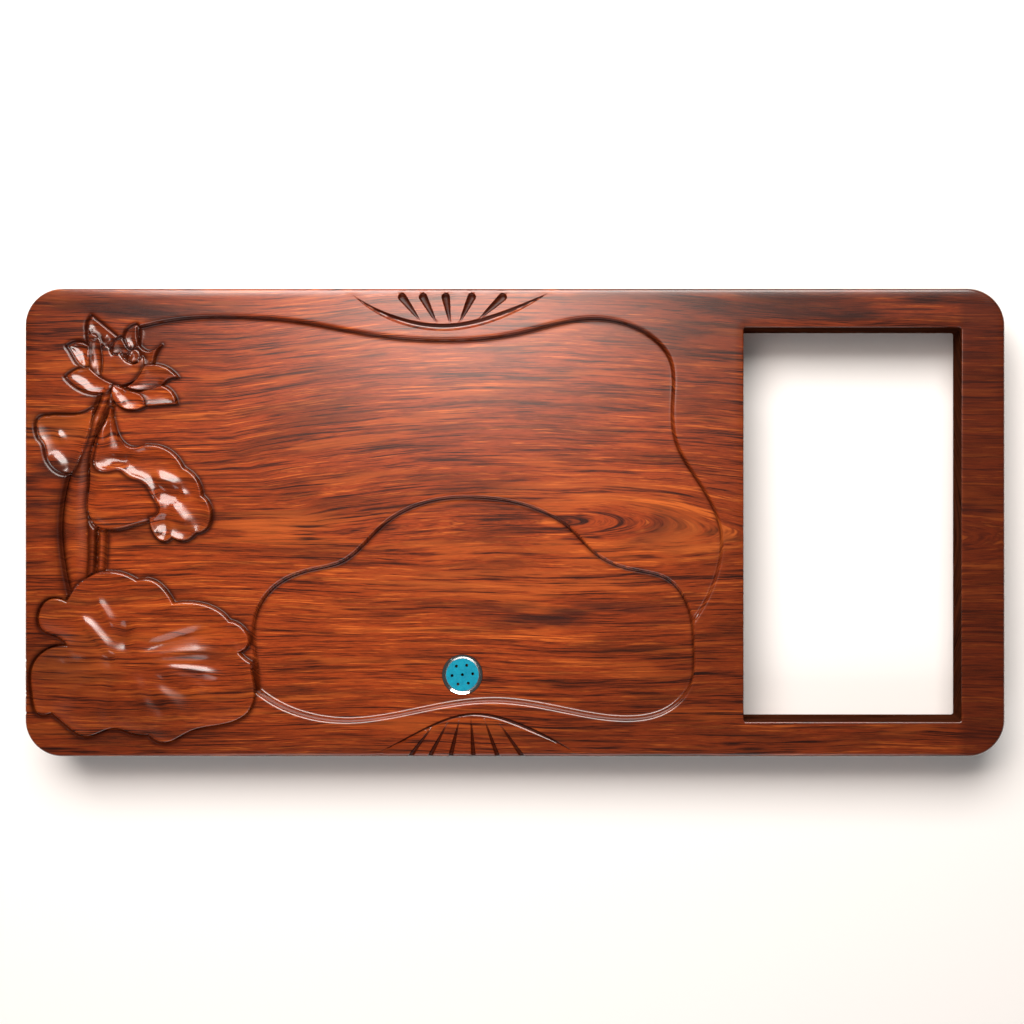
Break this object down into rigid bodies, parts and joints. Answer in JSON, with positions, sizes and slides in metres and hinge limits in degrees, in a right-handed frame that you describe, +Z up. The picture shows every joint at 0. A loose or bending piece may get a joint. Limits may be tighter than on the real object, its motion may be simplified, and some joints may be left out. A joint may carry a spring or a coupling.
{
  "type": "gongfu tea tray",
  "caption": "Carved slab tea tray with a stepped basin, a stove cut-out, a lift-out drain strainer and a swivel hose outlet underneath.",
  "frame": {"origin": "under the middle of the slab, at the height of the feet's soles", "axes": "+X along the tray's long side towards the stove cut-out, +Y to the rear rail, +Z up"},
  "size_m": [0.9, 0.43, 0.054],
  "materials": {
    "rosewood": "polished lacquer over streaky red-brown grain",
    "batten_wood": "oiled, plain",
    "steel": "brushed stainless",
    "polished_steel": "polished stainless",
    "blue_film": "thin protective film",
    "black_rubber": "matt",
    "brass_fitting": "turned brass",
    "white_nylon": "moulded",
    "zinc_steel": "zinc plated"
  },
  "bodies": {
    "tray": {"batten_left": "batten_wood", "batten_middle": "batten_wood", "batten_right": "batten_wood", "batten_screws": "zinc_steel", "drain_body": "polished_steel", "drain_gasket": "black_rubber", "drain_nut": "brass_fitting", "drain_washer": "white_nylon", "foot_front_left": "black_rubber", "foot_front_middle": "black_rubber", "foot_front_right": "black_rubber", "foot_rear_left": "black_rubber", "foot_rear_middle": "black_rubber", "foot_rear_right": "black_rubber", "foot_screws": "zinc_steel", "foot_washers": "zinc_steel", "stile_bar": "steel", "stile_bar_screws": "zinc_steel", "tray_board": "rosewood"},
    "strainer": {"strainer_plate": "steel", "strainer_film": "blue_film"},
    "elbow": {"outlet_elbow": "brass_fitting", "elbow_ring": "black_rubber"}
  },
  "joints": [
    {"name": "strainer_lift", "type": "slide", "parent": "tray", "child": "strainer", "axis": [0, 0, 1], "range_m": [0, 0.06]},
    {"name": "elbow_swivel", "type": "hinge", "parent": "tray", "child": "elbow", "pos_m": [-0.05, -0.141, 0.016], "axis": [0, 0, 1], "continuous": true}
  ]
}
